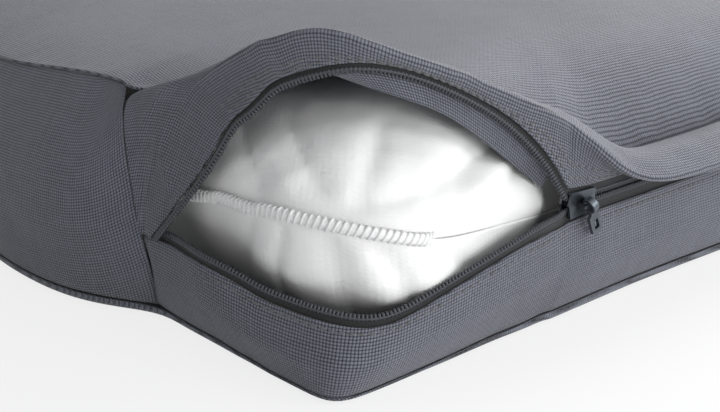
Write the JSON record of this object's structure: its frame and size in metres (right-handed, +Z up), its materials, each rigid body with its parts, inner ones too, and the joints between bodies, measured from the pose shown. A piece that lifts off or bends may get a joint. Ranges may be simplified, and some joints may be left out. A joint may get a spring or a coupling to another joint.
{
  "type": "kneeling pad",
  "caption": "Box-shaped kneeling pad: foam core in a white liner, inside a grey woven cover with a corner zip standing open.",
  "frame": {"origin": "middle of the flat underside, on the surface the pad lies on", "axes": "+X along the length, with the open zip corner at -X, -Y; +Y from the zip side to the back; +Z up out of the knee side"},
  "size_m": [0.4695, 0.3767, 0.1094],
  "materials": {
    "cover_cloth": "matte",
    "liner_cloth": "matte",
    "zip_tape": "matte",
    "zip_coil": "satin",
    "slider_metal": "gunmetal, half gloss",
    "cover_thread": "matte",
    "liner_thread": "matte",
    "foam": "matte",
    "wadding": "matte"
  },
  "bodies": {
    "pad": {"cover_top_panel": "cover_cloth", "cover_bottom_panel": "cover_cloth", "cover_side_strip": "cover_cloth", "zip_strip_lower": "cover_cloth", "zip_strip_upper": "cover_cloth", "seam_facing": "cover_cloth", "zip_coil_lower": "zip_coil", "zip_coil_upper": "zip_coil", "zip_tape_lower": "zip_tape", "zip_tape_upper": "zip_tape", "flap_topstitching": "cover_thread", "lip_topstitching": "cover_thread", "liner_top_panel": "liner_cloth", "liner_bottom_panel": "liner_cloth", "liner_overlock_seam": "liner_thread", "foam_core": "foam", "wadding_top": "wadding", "wadding_bottom": "wadding"},
    "slider": {"zip_slider_body": "slider_metal"},
    "pull": {"zip_slider_pull": "slider_metal"}
  },
  "joints": [
    {"name": "zip_slide", "type": "slide", "parent": "pad", "child": "slider", "axis": [1, 0, 0], "range_m": [0, 0.25], "deforming": ["zip_coil_lower", "zip_coil_upper"]},
    {"name": "pull_hinge", "type": "hinge", "parent": "slider", "child": "pull", "pos_m": [-0.101, -0.1762, 0.044], "axis": [-1, 0, 0], "range_deg": [0, 90]}
  ]
}
